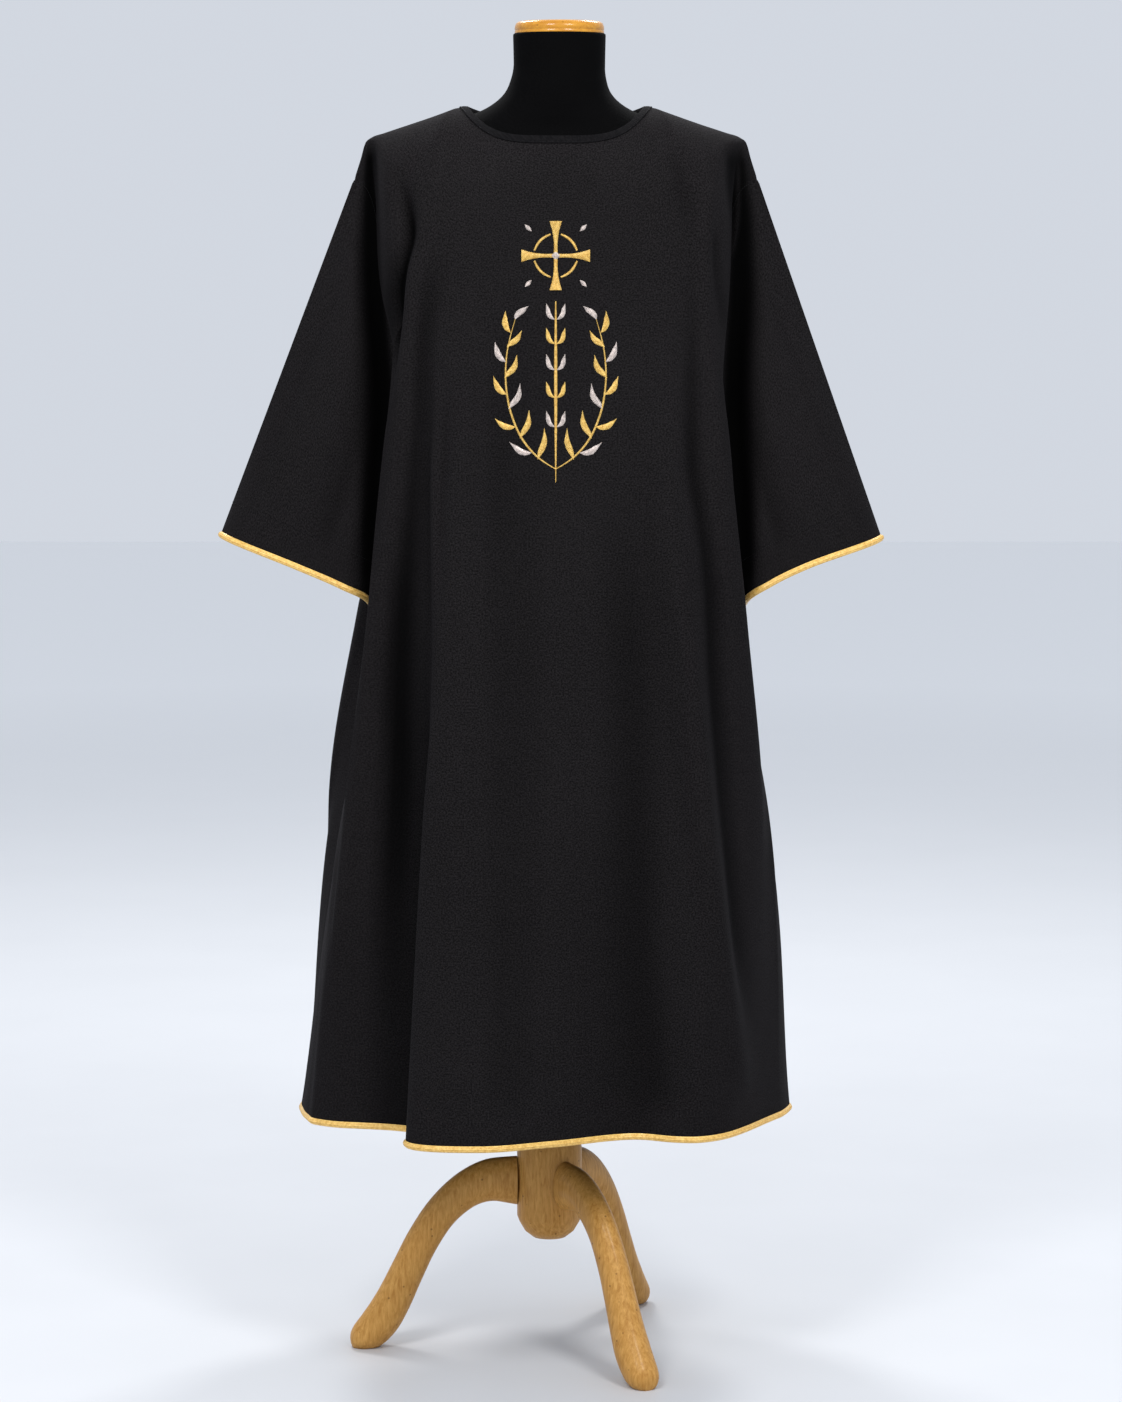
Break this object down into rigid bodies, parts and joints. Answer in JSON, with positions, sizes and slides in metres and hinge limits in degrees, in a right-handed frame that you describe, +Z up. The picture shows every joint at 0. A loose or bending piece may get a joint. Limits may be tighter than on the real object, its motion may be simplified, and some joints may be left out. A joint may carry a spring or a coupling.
{
  "type": "dalmatic on dress form",
  "caption": "Wide-sleeved calf-length black church vestment with gold corded edges, hanging in soft folds over a limbless dress form on a pole and splayed wooden legs.",
  "frame": {"origin": "on the floor under the middle of the garment's bounding box, between the feet of the stand", "axes": "+Z up; -Y is the front of the garment; the wearer's right is at -X"},
  "size_m": [0.8481, 0.5148, 1.7038],
  "materials": {
    "wool": "matte",
    "binding": "matte",
    "piping": "satin",
    "jersey": "matte",
    "beech": "satin",
    "steel": "satin"
  },
  "bodies": {
    "root": {"front_panel": "wool", "back_panel": "wool", "sleeve_right": "wool", "sleeve_left": "wool", "neck_binding": "binding", "hem_piping": "piping", "cuff_piping_right": "piping", "cuff_piping_left": "piping", "form_torso": "jersey", "neck_cap": "beech", "form_pole": "steel", "stand_hub": "beech", "leg_front": "beech", "leg_side": "beech", "leg_back": "beech"}
  },
  "joints": []
}
